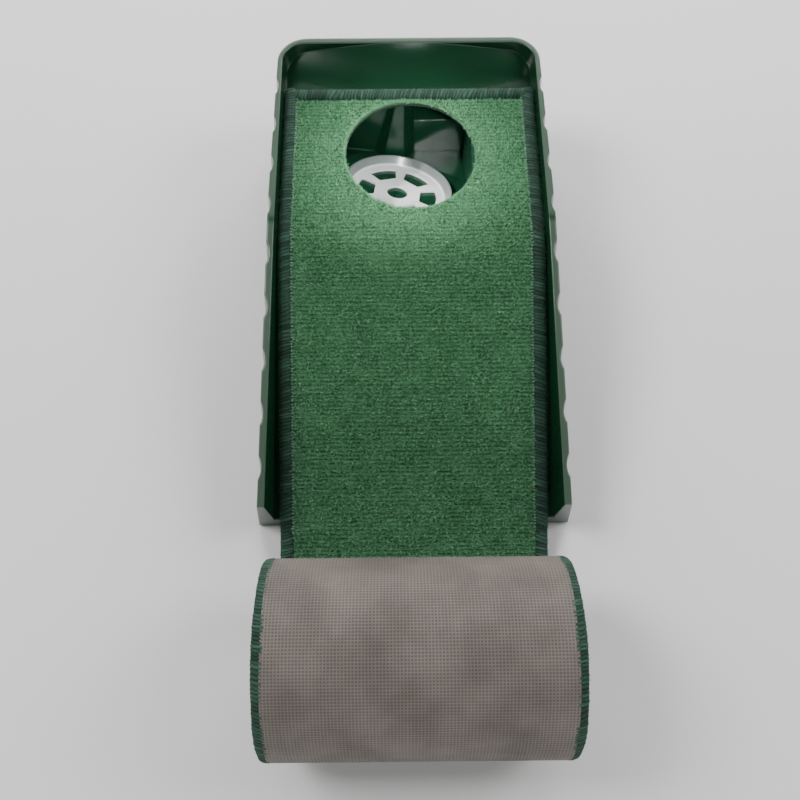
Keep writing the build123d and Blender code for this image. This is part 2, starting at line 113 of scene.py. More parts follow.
S_DECK = MAT_BACK_Y - CREST_START_Y
S_CREST = S_DECK + CREST_R * RAMP_ANGLE
S_RAMP = S_CREST + math.dist(RAMP_FROM, RAMP_TO)
S_FOOT = S_RAMP + FOOT_R * RAMP_ANGLE
S_FLAT = S_FOOT + FLAT_FROM_Y - CONTACT_Y
S_CONTACT = S_FLAT - CONTACT_L
ROLL_END_TURN = (ROLL_R - ROLL_CORE_R) / ROLL_PITCH * 2 * math.pi
S_END = S_FLAT + ROLL_R * ROLL_END_TURN - ROLL_PITCH * ROLL_END_TURN**2 / (4 * math.pi)


def mat_point(s, lift):
    """(y, z) of points at distances s along the mat's underside, lifted square to it."""
    s = np.asarray(s, float)
    lift = np.asarray(lift, float)
    spiral = np.maximum(s - S_FLAT, 0)
    radius = np.sqrt(np.maximum(ROLL_R**2 - ROLL_PITCH * spiral / math.pi, 0))
    turn = (ROLL_R - radius) * 2 * math.pi / ROLL_PITCH
    crest = (s - S_DECK) / CREST_R
    foot = RAMP_ANGLE - (s - S_RAMP) / FOOT_R
    on_ramp = s - S_CREST
    stretches = [s < S_DECK, s < S_CREST, s < S_RAMP, s < S_FOOT]
    y = np.select(
        stretches,
        [
            MAT_BACK_Y - s,
            CREST_START_Y - CREST_R * np.sin(crest),
            RAMP_FROM[0] - on_ramp * math.cos(RAMP_ANGLE),
            FLAT_FROM_Y + FOOT_R * np.sin(foot),
        ],
        CONTACT_Y + S_FLAT - s,
    )
    z = np.select(
        stretches,
        [
            TOP_Z + 0 * s,
            TOP_Z - CREST_R * (1 - np.cos(crest)),
            RAMP_FROM[1] - on_ramp * math.sin(RAMP_ANGLE),
            FOOT_R * (1 - np.cos(foot)),
        ],
        0 * s,
    )
    a = np.select(stretches, [0 * s, crest, RAMP_ANGLE + 0 * s, foot], 0 * s)
    y = y - lift * np.sin(a)
    z = z + lift * np.cos(a)
    r = ROLL_R - ROLL_PITCH * turn / (2 * math.pi) - lift
    rolled = s > S_FLAT
    y = np.where(rolled, CONTACT_Y - r * np.sin(turn), y)
    z = np.where(rolled, ROLL_R - r * np.cos(turn), z)
    return y, z


def sweep_z(y):
    """Height of the roll's swept cylinder above the floor at y, near the floor."""
    u = np.clip(np.abs(y - CONTACT_Y), 0, ROLL_SWEEP_R * 0.99)
    return ROLL_R - np.sqrt(ROLL_SWEEP_R**2 - u**2)


# ---------------------------------------------------------------- node material helpers
def new_material(name):
    material = bpy.data.materials.new(name)
    material.use_nodes = True
    tree = material.node_tree
    return material, tree, tree.nodes["Principled BSDF"]


def node(tree, kind, **settings):
    made = tree.nodes.new(kind)
    for key, value in settings.items():
        if key in made.inputs.keys():
            made.inputs[key].default_value = value
        else:
            setattr(made, key, value)
    return made


def link(tree, a, b):
    tree.links.new(a, b)


def ramp(tree, source, stops):
    made = tree.nodes.new("ShaderNodeValToRGB")
    elements = made.color_ramp.elements
    while len(elements) < len(stops):
        elements.new(0.5)
    for element, (position, colour) in zip(elements, stops):
        element.position = position
        element.color = (*colour, 1.0)
    link(tree, source, made.inputs["Fac"])
    return made.outputs["Color"]


def grey(value):
    return (value, value, value)


def maths(tree, operation, a, b=None):
    made = tree.nodes.new("ShaderNodeMath")
    made.operation = operation
    for slot, value in ((0, a), (1, b)):
        if value is None:
            continue
        if isinstance(value, (int, float)):
            made.inputs[slot].default_value = value
        else:
            link(tree, value, made.inputs[slot])
    return made.outputs[0]


def mix_colour(tree, factor, a, b):
    made = tree.nodes.new("ShaderNodeMix")
    made.data_type = "RGBA"
    for socket, value in ((made.inputs["Factor"], factor), (made.inputs[6], a), (made.inputs[7], b)):
        if isinstance(value, (int, float)):
            socket.default_value = value
        elif isinstance(value, tuple):
            socket.default_value = (*value, 1.0)
        else:
            link(tree, value, socket)
    return made.outputs[2]


def noise(tree, vector, scale, detail=3.0, roughness=0.55):
    made = node(tree, "ShaderNodeTexNoise", Scale=scale, Detail=detail, Roughness=roughness)
    link(tree, vector, made.inputs["Vector"])
    return made.outputs["Fac"]


def weighted(tree, a, share_a, b, share_b):
    return maths(tree, "ADD", maths(tree, "MULTIPLY", a, share_a), maths(tree, "MULTIPLY", b, share_b))


def scaled(tree, vector, scale):
    made = tree.nodes.new("ShaderNodeMapping")
    made.inputs["Scale"].default_value = scale
    link(tree, vector, made.inputs["Vector"])
    return made.outputs["Vector"]


def bump(tree, height, distance, strength=1.0, normal=None):
    made = node(tree, "ShaderNodeBump", Strength=strength, Distance=distance)
    link(tree, height, made.inputs["Height"])
    if normal is not None:
        link(tree, normal, made.inputs["Normal"])
    return made.outputs["Normal"]


def bands(tree, vector, direction, **settings):
    """Soft stripes that run across the direction given."""
    made = node(tree, "ShaderNodeTexWave", wave_type="BANDS", bands_direction=direction, **settings)
    made.inputs["Scale"].default_value = 1.0
    link(tree, vector, made.inputs["Vector"])
    return made.outputs["Fac"]


def object_vector(tree):
    return tree.nodes.new("ShaderNodeTexCoord").outputs["Object"]


def uv_vector(tree):
    return tree.nodes.new("ShaderNodeTexCoord").outputs["UV"]


# ---------------------------------------------------------------- materials
def rim_lip_highlight_mask(tree, at):
    """Mask of the painted highlight: 1 on the last millimetre under the top of rails and backstop, which
    falls past the crest; else 0.
    """
    split = tree.nodes.new("ShaderNodeSeparateXYZ")
    link(tree, at, split.inputs[0])
    past = maths(tree, "MINIMUM", maths(tree, "ADD", split.outputs["Y"], -RAIL_DROP_Y), 0.0)
    top = maths(tree, "ADD", maths(tree, "MULTIPLY", past, RAIL_SLOPE), RIM_Z - LIP_DEPTH)
    over = maths(tree, "SUBTRACT", split.outputs["Z"], top)
    return ramp(tree, maths(tree, "MULTIPLY", over, 1 / LIP_DEPTH), [(0.0, grey(0.0)), (0.6, grey(1.0))])


def moulded_plastic(name, dark, light, bevel_radius, rim_highlight=False):
    """Glossy injection-moulded plastic: rounded edges, faint flow waviness, fine scuffs and dust, and if
    asked a painted highlight lightening the top of the rim lip.
    """
    material, tree, shader = new_material(name)
    at = object_vector(tree)
    flow = noise(tree, scaled(tree, at, (14, 14, 5)), 1.0, 2.0)
    colour = ramp(tree, flow, [(0.3, dark), (0.75, light)])
    if rim_highlight:
        # painted highlight: the top millimetre of the rim lip is mixed towards a pale grey-green
        share = maths(tree, "MULTIPLY", rim_lip_highlight_mask(tree, at), 0.22)
        colour = mix_colour(tree, share, colour, (0.24, 0.30, 0.245))
    link(tree, colour, shader.inputs["Base Color"])
    scuff = noise(tree, scaled(tree, at, (90, 700, 220)), 1.0, 4.0, 0.7)
    smudge = noise(tree, at, 22.0, 4.0)
    worn = maths(tree, "MULTIPLY", ramp(tree, scuff, [(0.5, grey(0.0)), (0.72, grey(1.0))]), smudge)
    link(tree, maths(tree, "ADD", maths(tree, "MULTIPLY", worn, 0.07), 0.22), shader.inputs["Roughness"])
    rounded = node(tree, "ShaderNodeBevel", samples=6, Radius=bevel_radius)
    wavy = bump(tree, flow, 0.0006, 0.35, rounded.outputs["Normal"])
    grain = noise(tree, at, 2400.0, 2.0)
    link(tree, bump(tree, grain, 0.00003, 0.25, wavy), shader.inputs["Normal"])
    shader.inputs["Specular IOR Level"].default_value = 0.45
    shader.inputs["Coat Weight"].default_value = 0.1
    shader.inputs["Coat Roughness"].default_value = 0.12
    return material


def cup_plastic():
    """White cup: opaque floor, and a thin wall that lets some light through."""
    material, tree, shader = new_material("cup_white")
    at = object_vector(tree)
    shade = noise(tree, at, 30.0, 3.0)
    floor_white = ramp(tree, shade, [(0.3, (0.88, 0.89, 0.89)), (0.7, (0.93, 0.94, 0.94))])
    dot = tree.nodes.new("ShaderNodeVectorMath")
    dot.operation = "DOT_PRODUCT"
    link(tree, at, dot.inputs[0])
    dot.inputs[1].default_value = CUP_UP
    above = maths(tree, "ADD", dot.outputs["Value"], -CUP_AT.dot(CUP_UP))
    wall = ramp(tree, maths(tree, "MULTIPLY", above, 1 / (7 * MM)), [(0.04, grey(0.0)), (0.25, grey(1.0))])
    link(tree, mix_colour(tree, wall, floor_white, (0.56, 0.62, 0.60)), shader.inputs["Base Color"])
    link(tree, maths(tree, "MULTIPLY", wall, 0.6), shader.inputs["Transmission Weight"])
    rounded = node(tree, "ShaderNodeBevel", samples=6, Radius=0.0008)
    grain = noise(tree, at, 1500.0, 2.0)
    link(tree, bump(tree, grain, 0.00003, 0.3, rounded.outputs["Normal"]), shader.inputs["Normal"])
    link(tree, maths(tree, "ADD", maths(tree, "MULTIPLY", shade, 0.15), 0.16), shader.inputs["Roughness"])
    shader.inputs["Subsurface Weight"].default_value = 0.2
    shader.inputs["Subsurface Radius"].default_value = (0.004, 0.004, 0.004)
    return material


def turf_fibre():
    """Ribbon fibre: each one has its own green, darkened towards the root as painted shade down in the pile,
    with a dry sheen.
    """
    material, tree, shader = new_material("turf_fibre")
    island = tree.nodes.new("ShaderNodeNewGeometry").outputs["Random Per Island"]
    at = object_vector(tree)
    patch = noise(tree, at, 45.0, 3.0)
    tone = weighted(tree, island, 0.75, patch, 0.25)
    greens = [
        (0.0, (0.080, 0.270, 0.120)),
        (0.45, (0.136, 0.405, 0.188)),
        (0.8, (0.205, 0.515, 0.265)),
        (1.0, (0.40, 0.68, 0.45)),
    ]
    colour = ramp(tree, tone, greens)
    height = tree.nodes.new("ShaderNodeAttribute")
    height.attribute_name = "tip"
    # painted shade: below 0.6 of its height each fibre is mixed towards a deep green, the shade at the pile's
    # roots
    above_painted_root_shade = ramp(tree, height.outputs["Fac"], [(0.0, grey(0.0)), (0.6, grey(1.0))])
    link(tree, mix_colour(tree, above_painted_root_shade, (0.040, 0.145, 0.062), colour), shader.inputs["Base Color"])
    shader.inputs["Roughness"].default_value = 0.42
    shader.inputs["Specular IOR Level"].default_value = 0.55
    shader.inputs["Sheen Weight"].default_value = 0.15
    streak = noise(tree, scaled(tree, at, (1500, 1500, 300)), 1.0, 2.0)
    link(tree, bump(tree, streak, 0.0002, 0.4), shader.inputs["Normal"])
    return material


def turf_ground():
    """The pile's roots: dark green with rows across the mat."""
    material, tree, shader = new_material("turf_ground")
    at = uv_vector(tree)
    fine = noise(tree, scaled(tree, at, (900, 900, 900)), 1.0, 4.0, 0.75)
    broad = noise(tree, scaled(tree, at, (60, 60, 60)), 1.0, 3.0)
    rows = bands(tree, scaled(tree, at, (60, BANDS_PERIOD / ROW_PITCH, 0)), "Y", Distortion=1.5, Detail=2.0)
    tone = weighted(tree, fine, 0.6, broad, 0.4)
    greens = [(0.3, (0.016, 0.058, 0.026)), (0.5, (0.045, 0.135, 0.062)), (0.72, (0.11, 0.28, 0.14))]
    link(tree, ramp(tree, tone, greens), shader.inputs["Base Color"])
    shader.inputs["Roughness"].default_value = 0.85
    shader.inputs["Specular IOR Level"].default_value = 0.2
    height = maths(tree, "ADD", fine, maths(tree, "MULTIPLY", rows, 0.6))
    link(tree, bump(tree, height, 0.0012, 1.0), shader.inputs["Normal"])
    return material


def whipping_yarn():
    """Thick dull yarn: fine strands along each wrap, with painted shade darkening the gaps between wraps."""
    material, tree, shader = new_material("whipping_yarn")
    at = uv_vector(tree)
    strand = noise(tree, scaled(tree, at, (160, 3200, 1)), 1.0, 3.0, 0.65)
    tuft = noise(tree, scaled(tree, at, (700, 1400, 1)), 1.0, 3.0)
    wrap = tree.nodes.new("ShaderNodeAttribute")
    wrap.attribute_name = "wrap"
    bundle = noise(tree, scaled(tree, at, (45, 330, 1)), 1.0, 1.0)
    fine = weighted(tree, strand, 0.45, tuft, 0.25)
    tone = maths(tree, "ADD", fine, maths(tree, "MULTIPLY", bundle, 0.3))
    greens = [(0.32, (0.008, 0.030, 0.019)), (0.5, (0.027, 0.078, 0.050)), (0.72, (0.090, 0.185, 0.130))]
    yarn = ramp(tree, tone, greens)
    # painted shade: where the wrap relief is low, between wraps, the yarn is mixed towards near-black green
    painted_gap_shade = ramp(tree, wrap.outputs["Fac"], [(0.25, grey(0.0)), (0.85, grey(1.0))])
    link(tree, mix_colour(tree, painted_gap_shade, (0.003, 0.011, 0.007), yarn), shader.inputs["Base Color"])
    shader.inputs["Roughness"].default_value = 0.8
    shader.inputs["Specular IOR Level"].default_value = 0.25
    shader.inputs["Sheen Weight"].default_value = 0.06
    shader.inputs["Sheen Tint"].default_value = (0.5, 0.8, 0.65, 1.0)
    link(tree, bump(tree, tone, 0.0009, 1.0), shader.inputs["Normal"])
    return material


def woven_backing(name, vector_of, hole_edge=False):
    """Coated plain weave, brown-grey, with thread relief and worn patches; with hole_edge, a painted shadow
    in dark green round the hole's cut edge.
    """
    material, tree, shader = new_material(name)
    at = vector_of(tree)
    threads = scaled(tree, at, grey(BANDS_PERIOD / WEAVE_PITCH))
    weave = maths(tree, "MAXIMUM", *(bands(tree, threads, way, Distortion=0.6) for way in ("X", "Y")))
    blotch = noise(tree, scaled(tree, at, (25, 25, 25)), 1.0, 5.0)
    fine = noise(tree, scaled(tree, at, (1400, 1400, 1400)), 1.0, 3.0)
    tone = weighted(tree, weave, 0.35, blotch, 0.65)
    browns = [(0.3, (0.060, 0.049, 0.042)), (0.55, (0.112, 0.095, 0.082)), (0.8, (0.175, 0.152, 0.134))]
    colour = ramp(tree, tone, browns)
    if hole_edge:
        # painted shadow: the backing within about 2 mm of the hole's cut edge is mixed towards dark green
        flat = node(tree, "ShaderNodeVectorMath", operation="LENGTH")
        link(tree, scaled(tree, at, (1, 1, 0)), flat.inputs[0])
        reach = maths(tree, "MULTIPLY", flat.outputs["Value"], 10.0)
        ring = ramp(tree, reach, [(0.545, grey(1.0)), (0.56, grey(0.0))])
        colour = mix_colour(tree, ring, colour, (0.016, 0.040, 0.020))
    link(tree, colour, shader.inputs["Base Color"])
    shader.inputs["Roughness"].default_value = 0.78
    height = maths(tree, "ADD", weave, maths(tree, "MULTIPLY", fine, 0.4))
    link(tree, bump(tree, height, 0.0004, 0.9), shader.inputs["Normal"])
    return material


def simple(name, colour_a, colour_b, roughness, metallic=0.0, grain=900.0):
    material, tree, shader = new_material(name)
    at = object_vector(tree)
    shade = noise(tree, at, grain, 4.0)
    link(tree, ramp(tree, shade, [(0.3, colour_a), (0.7, colour_b)]), shader.inputs["Base Color"])
    shader.inputs["Roughness"].default_value = roughness
    shader.inputs["Metallic"].default_value = metallic
    link(tree, bump(tree, shade, 0.0001, 0.5), shader.inputs["Normal"])
    return material


# the shell's green gets the painted highlight on its rim lip
GREEN = moulded_plastic("green_moulding", (0.003, 0.026, 0.0105), (0.0055, 0.038, 0.0155), 1.5 * MM, True)
# painted fill light: the well is the shell's green plastic made lighter, standing in for light in the well
WELL_GREEN_PAINTED_FILL = moulded_plastic("green_well_painted_fill", (0.0055, 0.042, 0.020), (0.0095, 0.062, 0.030), 3 * MM)
CUP_WHITE = cup_plastic()
FIBRE = turf_fibre()
GROUND = turf_ground()
YARN = whipping_yarn()
BACKING_UV = woven_backing("backing_weave", uv_vector)
BACKING_OBJECT = woven_backing("backing_weave_cut", object_vector)
BACKING_HOLE_SHADOW = woven_backing("backing_weave_hole_shadow", object_vector, hole_edge=True)
SCREW = simple("screw_zinc", (0.5, 0.5, 0.51), (0.62, 0.62, 0.6), 0.3, 1.0)
RUBBER = simple("pad_rubber", (0.02, 0.02, 0.02), (0.035, 0.035, 0.035), 0.75)
STITCH = simple("stitch_thread", (0.15, 0.32, 0.20), (0.24, 0.43, 0.29), 0.6)
TAPE = simple("tape_cream", (0.6, 0.56, 0.44), (0.7, 0.66, 0.54), 0.5, 0.0, 200.0)


# ---------------------------------------------------------------- mesh helpers
def mesh_object(name, points, quads, material, uv=None, attributes=None):
    """Object from numpy arrays of points and quads, with UVs and float attributes per point."""
    points = np.asarray(points, np.float32).reshape(-1, 3)
    quads = np.asarray(quads, np.int32).reshape(-1, 4)
    mesh = bpy.data.meshes.new(name)
    mesh.vertices.add(len(points))
    mesh.vertices.foreach_set("co", points.ravel())
    mesh.loops.add(quads.size)
    mesh.loops.foreach_set("vertex_index", quads.ravel())
    mesh.polygons.add(len(quads))
    mesh.polygons.foreach_set("loop_start", np.arange(0, quads.size, 4, dtype=np.int32))
    mesh.polygons.foreach_set("use_smooth", np.full(len(quads), True))
    mesh.update(calc_edges=True)
    if uv is not None:
        layer = mesh.uv_layers.new(name="UVMap")
        layer.data.foreach_set("uv", np.asarray(uv, np.float32)[quads.ravel()].ravel())
    for key, values in (attributes or {}).items():
        layer = mesh.attributes.new(key, "FLOAT", "POINT")
        layer.data.foreach_set("value", np.asarray(values, np.float32))
    mesh.materials.append(material)
    made = bpy.data.objects.new(name, mesh)
    bpy.context.scene.collection.objects.link(made)
    return made


def tube_quads(rows, around):
    """Quads between the rings of a tube: rows rings, each of as many points as around."""
    i = np.arange(rows - 1)[:, None]
    j = np.arange(around)[None, :]
    k = (j + 1) % around
    quads = np.stack([i * around + j, (i + 1) * around + j, (i + 1) * around + k, i * around + k], -1)
    return quads.reshape(-1, 4)


def set_material(name, material):
    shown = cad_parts[name]
    shown.data.materials.clear()
    shown.data.materials.append(material)


def smooth_by_angle(shown, degrees):
    for polygon in shown.data.polygons:
        polygon.use_smooth = True
    shown.data.set_sharp_from_angle(angle=math.radians(degrees))


# ---------------------------------------------------------------- what the strips of mat share
def flat_s(y):
    """Distance along the mat of the point at y on its flat part."""
    return S_FLAT + CONTACT_Y - y


def into_stretch(weight):
    """Distance along the mat, between the two STRETCH_Y, of the point that blends with the weight given."""
    t = np.linspace(0, 1, 4001)
    share = np.interp(weight, t * t * (3 - 2 * t), t)
    return flat_s(STRETCH_Y[0] + (STRETCH_Y[1] - STRETCH_Y[0]) * share)


def end_caps(rows, around, count, flip_last):
    """Quads that close the first and the last ring of a tube, each in as many quads as count."""
    caps = []
    for row in (0, rows - 1):
        ring = row * around
        for k in range(count):
            quad = [ring + k, ring + k + 1, ring + around - 2 - k, ring + around - 1 - k]
            caps.append(quad[::-1] if row and flip_last else quad)
    return np.array(caps)


def core_section(half_a, half_lift):
    """Section of a whipping's core round PHI: a rounded oblong."""
    c, n = np.cos(PHI), np.sin(PHI)
    return np.sign(c) * np.abs(c) ** CORE_POWER * half_a, np.sign(n) * np.abs(n) ** CORE_POWER * half_lift


def wraps(laid, draw):
    """Height from 0 to 1 of the yarn wraps, per station and angle: uneven in pitch, slant and thickness."""
    uneven = np.zeros(len(laid))
    slant = np.full(len(laid), 1.15)
    for length in (6.1, 9.7, 17.0, 43.0):
        uneven += 0.26 * length / 6.1 * np.sin(laid / (length * MM) * 2 * math.pi / 3 + draw.uniform(0, 6.3))
        slant += 0.16 * np.sin(laid / (length * MM) + draw.uniform(0, 6.3))
    round_core = (1 - np.cos(PHI))[None, :]
    lean = laid[:, None] / WRAP_PITCH + 0.35 * uneven[:, None] + slant[:, None] * round_core / 2
    index = np.floor(lean).astype(int)
    first = index.min()
    thick = draw.uniform(0.5, 1.0, int(index.max() - first) + 2)[index - first]
    f = lean - index
    return np.sqrt(np.clip(1 - (2 * f - 1) ** 2, 0, 1)) * thick


def whipping(name, side, stations, laid, body, seed, clamp=None):
    """Whipped edge along one side of the mat: yarn wraps over a rounded core.

    stations are distances along the mat, and laid is how much mat has passed at each, for the wraps.
    clamp keeps the edge "below" the roll's swept cylinder, or "inside" it.
    """
    draw = np.random.default_rng(seed)
    core_x, core_lift = core_section(4.5 * MM, 2.75 * MM)
    ridge = wraps(laid, draw)
    wobble = 0.14 * MM * np.sin(laid / (11 * MM))[:, None]
    rough = draw.normal(0, YARN_SCATTER, ridge.shape)
    out_x = core_x[None, :] + (WRAP_RELIEF[0] * ridge + wobble + rough) * np.cos(PHI)[None, :]
    out_lift = core_lift[None, :] + (WRAP_RELIEF[1] * ridge + wobble + rough) * np.sin(PHI)[None, :]
    x = side * (MAT_HALF_W - WHIP_W / 2 + out_x)
    lift = WHIP_T / 2 + out_lift
    if clamp == "inside":
        lift = np.maximum(lift, 0.05 * MM)
    y, z = mat_point(stations[:, None] + 0 * x, lift)
    if clamp == "below":
        z = np.minimum(z, sweep_z(y) - 0.08 * MM)
    z = np.maximum(z, 0.02 * MM)
    if clamp == "inside":
        z = np.where(stations[:, None] < S_FLAT, np.maximum(z, sweep_z(y) + 0.12 * MM), z)
    rows = len(stations)
    points = np.stack([x, y, z], -1).reshape(-1, 3)
    round_core = PHI / (2 * math.pi) * WRAP_GIRTH
    uv = np.stack(np.broadcast_arrays(round_core[None, :], laid[:, None]), -1).reshape(-1, 2)
    quads = tube_quads(rows, AROUND)
    if side > 0:
        quads = quads[:, ::-1]
    quads = np.concatenate([quads, end_caps(rows, AROUND, AROUND // 2 - 1, False)])
    made = mesh_object(name, points, quads, YARN, uv, {"wrap": ridge.reshape(-1)})
    if body:
        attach(made, body)
    return made


def fuzz(name, roots_x, roots_s, roots_lift, out_x, out_s, out_lift, draw):
    """Short single hairs standing off the whipping: each leaves its root along the direction given."""
    n = len(roots_x)
    length = draw.uniform(0.5, 1.5, n) * MM
    skew = draw.normal(0, 0.55, (3, n))
    tip_x = roots_x + (out_x + skew[0]) * length
    tip_s = roots_s + (out_s + skew[1]) * length
    tip_lift = np.maximum(roots_lift + (out_lift + 0.6 * skew[2]) * length, 0.2 * MM)
    half = 0.09 * MM
    heading = draw.uniform(0, math.pi, n)
    wide_x, wide_s = half * np.cos(heading), half * np.sin(heading)
    xs = np.stack([roots_x - wide_x, roots_x + wide_x, tip_x + 0.4 * wide_x, tip_x - 0.4 * wide_x], 1)
    ss = np.stack([roots_s - wide_s, roots_s + wide_s, tip_s + 0.4 * wide_s, tip_s - 0.4 * wide_s], 1)
    lifts = np.stack([roots_lift, roots_lift, tip_lift, tip_lift], 1)
    y, z = mat_point(ss, lifts)
    points = np.stack([xs, y, z], -1).reshape(-1, 3)
    quads = np.arange(4 * n).reshape(n, 4)
    uv = np.stack([ss, xs], -1).reshape(-1, 2)
    # a wrap value of 0.8 keeps the hairs almost clear of the painted gap shade
    made = mesh_object(name, points, quads, YARN, uv, {"wrap": np.full(4 * n, 0.8)})
    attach(made, "ramp_unit")


def whipping_fuzz():
    """Hairs on the three whipped edges of the unit."""
    draw = np.random.default_rng(35)
    half_w, half_t = WHIP_W / 2 - 0.3 * MM, WHIP_T / 2 - 0.2 * MM
    for side, label in SIDES:
        count = 9000
        angle = draw.uniform(-0.3, math.pi + 0.3, count)
        out_x, out_lift = np.cos(angle), np.sin(angle)
        x = side * (MAT_HALF_W - WHIP_W / 2) + half_w * out_x
        s = draw.uniform(2 * MM, S_RAMP - 2 * MM, count)
        fuzz(f"whipping_fuzz_{label}", x, s, WHIP_T / 2 + half_t * out_lift, out_x, 0 * s, out_lift, draw)
    count = 5000
    angle = draw.uniform(-0.3, math.pi + 0.3, count)
    out_s, out_lift = np.cos(angle), np.sin(angle)
    x = draw.uniform(-MAT_HALF_W + 6 * MM, MAT_HALF_W - 6 * MM, count)
    s = WHIP_W / 2 + half_w * out_s
    fuzz("whipping_fuzz_back", x, s, WHIP_T / 2 + half_t * out_lift, 0 * x, out_s, out_lift, draw)


def along(start, end, step):
    return np.linspace(start, end, max(2, int(math.ceil((end - start) / step)) + 1))


def sheet(name, material, lifts, half_w, stations, laid, body, inside=False):
    """Closed strip of mat between two lifts; inside keeps it within the roll's swept cylinder."""
    low, high = lifts
    section_x = np.array([-half_w, half_w, half_w, -half_w])
    section_lift = np.array([high, high, low, low])
    lift = section_lift[None, :] + 0 * stations[:, None]
    y, z = mat_point(stations[:, None] + 0 * lift, lift)
    x = np.broadcast_to(section_x[None, :], y.shape)
    if inside:
        z = np.where(stations[:, None] < S_FLAT, np.maximum(z, sweep_z(y) + 0.05 * MM), z)
    points = np.stack([x, y, z], -1).reshape(-1, 3)
    uv = np.stack([x, np.broadcast_to(laid[:, None], x.shape)], -1).reshape(-1, 2)
    rows, columns = len(stations), len(section_x)
    quads = tube_quads(rows, columns)[:, ::-1]
    quads = np.concatenate([quads, end_caps(rows, columns, 1, True)])
    made = mesh_object(name, points, quads, material, uv)
    made.data.set_sharp_from_angle(angle=math.radians(40))
    if body:
        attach(made, body)
    return made


# ---------------------------------------------------------------- turf fibres
def blades(name, x, s, draw, height=3.3 * MM, width=0.44 * MM, lean_to=None, squeeze=None):
    """Ribbon fibres rooted at (x, s), each with two segments, curled and leaning its own way.

    lean_to is a direction and an amount per fibre. squeeze turns the distances of the finished fibres
    into distances along the mat at rest.
    """
    n = len(x)
    heading = draw.uniform(0, 2 * math.pi, n)
    lean = np.abs(draw.normal(0, 0.42, n)) + 0.08
    curl = draw.normal(0.0, 0.5, n)
    length = height * draw.uniform(0.78, 1.16, n)
    size = width * draw.uniform(0.7, 1.25, n)
    twist = draw.uniform(0, math.pi, n)
    lie = np.interp(s, (S_DECK - 30 * MM, S_CREST + 30 * MM), (1.0, ROW_LIE))
    if lean_to is not None:
        toward, amount = lean_to
        heading = np.where(amount > 0, toward + draw.normal(0, 0.7, n), heading)
        lean = lean + amount * draw.uniform(0.2, 0.9, n)
        lie = np.where(amount > 0, 1.0, lie)
    lean_mid, lean_tip = lean, lean + curl * 0.8 + 0.25
    seg = length / 2
    along_x, along_s = np.cos(heading), lie * np.sin(heading)
    mid_out, mid_up = seg * np.sin(lean_mid), seg * np.cos(lean_mid)
    tip_out, tip_up = mid_out + seg * np.sin(lean_tip), mid_up + seg * np.abs(np.cos(lean_tip))
    across_x, across_s = np.cos(twist), np.sin(twist)
    rows_x, rows_s, rows_l, tip = [], [], [], []
    levels = ((0 * mid_out, 0 * mid_up, 1.0, 0.0), (mid_out, mid_up, 0.95, 0.55), (tip_out, tip_up, 0.6, 1.0))
    for out, up, share, t in levels:
        for sign in (-1, 1):
            rows_x.append(x + along_x * out + sign * share * size / 2 * across_x)
            rows_s.append(s + along_s * out + sign * share * size / 2 * across_s)
            rows_l.append(FIBRE_BASE + up)
            tip.append(np.full(n, t))
    px = np.stack(rows_x, 1)
    ps = np.stack(rows_s, 1)
    pl = np.stack(rows_l, 1)
    if squeeze is not None:
        ps = squeeze(ps)
    y, z = mat_point(ps, pl)
    points = np.stack([px, y, z], -1).reshape(-1, 3)
    start = np.arange(n)[:, None] * 6
    quads = np.concatenate([start + np.array([0, 1, 3, 2]), start + np.array([2, 3, 5, 4])], 0)
    # tip runs from 0 at the root to 1 at the tip; the fibre material paints shade by it towards the root
    made = mesh_object(name, points, quads, FIBRE, None, {"tip": np.stack(tip, 1).reshape(-1)})
    return made


def tufts(s_from, s_to, draw, keep=None, per_tuft=10):
    """Roots of the fibres: rows across the mat, tufts along each row, and fibres round each tuft."""
    rows = np.arange(math.ceil(s_from / ROW_PITCH), math.floor(s_to / ROW_PITCH) + 1) * ROW_PITCH
    columns = np.arange(-PILE_HALF_W + 0.5 * MM, PILE_HALF_W - 0.4 * MM, TUFT_GAUGE)
    gx, gs = np.meshgrid(columns, rows)
    gx = gx + draw.uniform(0, TUFT_GAUGE, (len(rows), 1)) * 0.9
    gx, gs = gx.ravel(), gs.ravel()
    gx = gx + draw.normal(0, 0.55 * MM, len(gx))
    gs = gs + draw.normal(0, 0.34 * MM, len(gs))
    x = np.repeat(gx, per_tuft) + draw.normal(0, 0.5 * MM, len(gx) * per_tuft)
    s = np.repeat(gs, per_tuft) + draw.normal(0, 0.36 * MM, len(gx) * per_tuft)
    inside = (np.abs(x) < PILE_HALF_W - 0.1 * MM) & (s > s_from) & (s < s_to)
    if keep is not None:
        inside &= keep(x, s)
    return x[inside], s[inside]


def outside_hole(x, s):
    return np.hypot(x, MAT_BACK_Y - s) > HOLE_R + 0.9 * MM


def turf_on_unit():
    """Fibres on the deck, round the edge of the hole, and on the ramp in two pieces."""
    draw = np.random.default_rng(11)
    start = WHIP_W + 0.2 * MM
    cut = S_DECK + 12 * MM
    x, s = tufts(start, cut, draw, outside_hole)
    reach = np.hypot(x, MAT_BACK_Y - s) - HOLE_R
    outwards = np.arctan2(s - MAT_BACK_Y, x)
    amount = np.where(reach < 2.4 * MM, 0.1, 0.0)
    made = [blades("turf_fibres_deck", x, s, draw, lean_to=(outwards, amount))]
    count = 2600
    angles = draw.uniform(0, 2 * math.pi, count)
    rim = HOLE_R + draw.uniform(0.4, 1.2, count) * MM
    x, s = rim * np.cos(angles), MAT_BACK_Y - rim * np.sin(angles)
    lean_to = (angles + math.pi / 2, np.full(count, 0.12))
    made.append(blades("turf_fibres_hole_edge", x, s, draw, height=3.6 * MM, lean_to=lean_to))
    middle = (cut + S_RAMP) / 2
    for number, (start, end) in enumerate(((cut, middle), (middle, S_RAMP))):
        x, s = tufts(start, end, draw)
        made.append(blades(f"turf_fibres_ramp_{number + 1}", x, s, draw))
    for piece in made:
        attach(piece, "ramp_unit")


